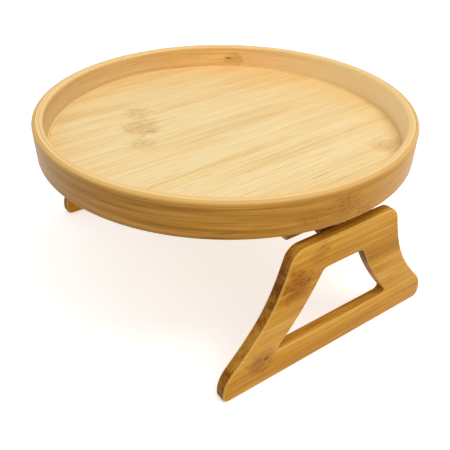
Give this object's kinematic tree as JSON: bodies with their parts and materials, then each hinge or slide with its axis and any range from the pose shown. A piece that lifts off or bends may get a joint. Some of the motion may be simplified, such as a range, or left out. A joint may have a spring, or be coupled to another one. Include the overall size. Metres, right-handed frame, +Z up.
{
  "type": "sofa arm tray",
  "caption": "Round bamboo tray with a raised rim, clipped over a sofa arm by flared legs on spring hinges that fold flat beneath it.",
  "frame": {"origin": "centre of the footprint, level with the bottom of the legs", "axes": "+X across the sofa arm, +Y along the sofa arm, +Z up"},
  "size_m": [0.25, 0.25, 0.1234],
  "materials": {
    "floor_bamboo": "satin",
    "rim_bamboo": "satin",
    "board_bamboo": "satin",
    "leg_bamboo": "satin",
    "hinge_steel": "satin",
    "spring_steel": "satin",
    "screw_steel": "satin"
  },
  "bodies": {
    "tray": {"tray_floor": "floor_bamboo", "rim_outer_ply": "rim_bamboo", "rim_core_ply": "rim_bamboo", "rim_inner_ply": "rim_bamboo", "base_board": "board_bamboo", "base_board_screws": "screw_steel", "right_board_leaf": "hinge_steel", "right_hinge_pin": "hinge_steel", "right_torsion_spring": "spring_steel", "right_board_leaf_screws": "screw_steel", "left_board_leaf": "hinge_steel", "left_hinge_pin": "hinge_steel", "left_torsion_spring": "spring_steel", "left_board_leaf_screws": "screw_steel"},
    "right_leg": {"right_leg": "leg_bamboo", "right_leg_leaf": "hinge_steel", "right_leg_leaf_screws": "screw_steel"},
    "left_leg": {"left_leg": "leg_bamboo", "left_leg_leaf": "hinge_steel", "left_leg_leaf_screws": "screw_steel"}
  },
  "joints": [
    {"name": "right_leg_fold", "type": "hinge", "parent": "tray", "child": "right_leg", "pos_m": [0.112, 0, 0.0924], "axis": [0, 1, 0], "range_deg": [-40, 90], "stiffness_Nm_per_rad": 0.24, "deforming": ["right_torsion_spring"]},
    {"name": "left_leg_fold", "type": "hinge", "parent": "tray", "child": "left_leg", "pos_m": [-0.112, 0, 0.0924], "axis": [0, -1, 0], "range_deg": [-40, 90], "stiffness_Nm_per_rad": 0.24, "deforming": ["left_torsion_spring"]}
  ]
}
